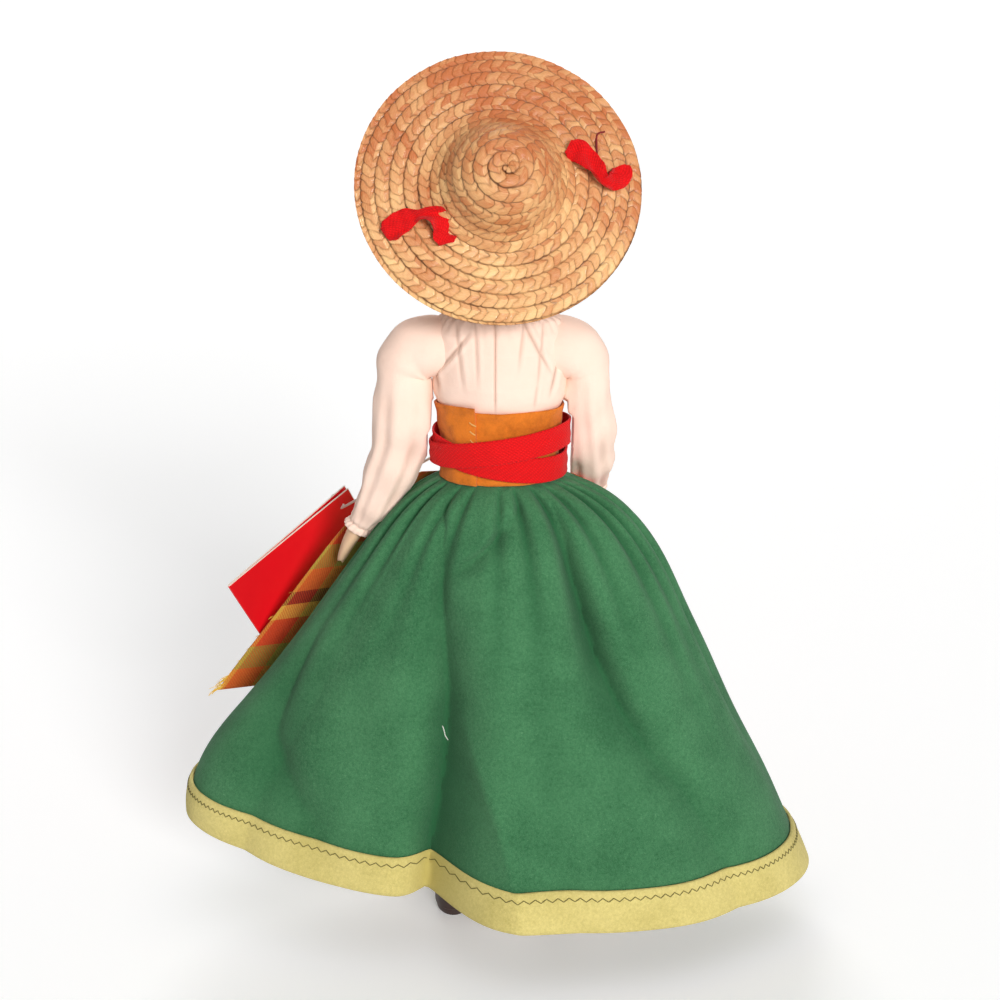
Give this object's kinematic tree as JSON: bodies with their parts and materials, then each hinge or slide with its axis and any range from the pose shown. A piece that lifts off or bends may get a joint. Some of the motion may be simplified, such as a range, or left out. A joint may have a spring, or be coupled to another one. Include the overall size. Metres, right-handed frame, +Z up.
{
  "type": "costume doll",
  "caption": "Strung costume doll with swinging limbs and turning head, in a gathered felt skirt, blouse, sash, plaid apron and straw hat, with a hang tag.",
  "frame": {"origin": "on the floor between the shoes, under the middle of the body", "axes": "+Z up, the doll faces -Y, its left hand is at +X"},
  "size_m": [0.1985, 0.1105, 0.2697],
  "materials": {
    "skin": "satin moulded plastic",
    "hair": "combed fibre",
    "elastic": "covered elastic and cotton thread",
    "toggle_wood": "turned, bare",
    "steel": "drawn wire",
    "cotton": "plain cotton",
    "suede": "ochre suede",
    "red_tape": "woven tape",
    "green_felt": "pressed felt",
    "lime_felt": "pressed felt",
    "plaid": "woven check",
    "straw": "sewn straw braid",
    "red_card": "coated folded card",
    "shoe_vinyl": "soft vinyl"
  },
  "bodies": {
    "torso": {"torso": "skin", "arm_cord": "elastic", "leg_cord": "elastic", "blouse": "cotton", "blouse_neckband": "cotton", "cummerbund": "suede", "sash_under_turn": "red_tape", "sash_upper_turn": "red_tape", "skirt": "green_felt", "hem_band": "lime_felt", "underskirt": "cotton", "apron": "plaid"},
    "head": {"head": "skin", "head_button": "toggle_wood", "neck_hook": "steel", "hat": "straw", "wig": "hair", "chin_tape": "red_tape", "left_tape_tail": "red_tape", "right_tape_tail": "red_tape"},
    "left_arm": {"left_arm": "skin", "left_arm_toggle": "toggle_wood", "left_sleeve": "cotton"},
    "right_arm": {"right_arm": "skin", "right_arm_toggle": "toggle_wood", "right_sleeve": "cotton"},
    "left_leg": {"left_leg": "skin", "left_leg_toggle": "toggle_wood", "left_shoe": "shoe_vinyl"},
    "right_leg": {"right_leg": "skin", "right_leg_toggle": "toggle_wood", "right_shoe": "shoe_vinyl"},
    "tag": {"tag_card": "red_card", "tag_thread": "elastic"}
  },
  "joints": [
    {"name": "head_turn", "type": "hinge", "parent": "torso", "child": "head", "pos_m": [0, 0, 0.1975], "axis": [0, 0, 1], "range_deg": [-25, 25]},
    {"name": "left_arm_swing", "type": "hinge", "parent": "torso", "child": "left_arm", "pos_m": [0, 0, 0.1845], "axis": [-1, 0, 0], "range_deg": [-80, 0]},
    {"name": "right_arm_swing", "type": "hinge", "parent": "torso", "child": "right_arm", "pos_m": [0, 0, 0.1845], "axis": [-1, 0, 0], "range_deg": [0, 100]},
    {"name": "left_leg_swing", "type": "hinge", "parent": "torso", "child": "left_leg", "pos_m": [0, 0, 0.117], "axis": [-1, 0, 0], "range_deg": [-8, 14]},
    {"name": "right_leg_swing", "type": "hinge", "parent": "torso", "child": "right_leg", "pos_m": [0, 0, 0.117], "axis": [-1, 0, 0], "range_deg": [-8, 14]},
    {"name": "tag_swing", "type": "hinge", "parent": "torso", "child": "tag", "pos_m": [0.01557, -0.01254, 0.15], "axis": [-0.809, -0.5878, 0], "range_deg": [0, 25]}
  ]
}
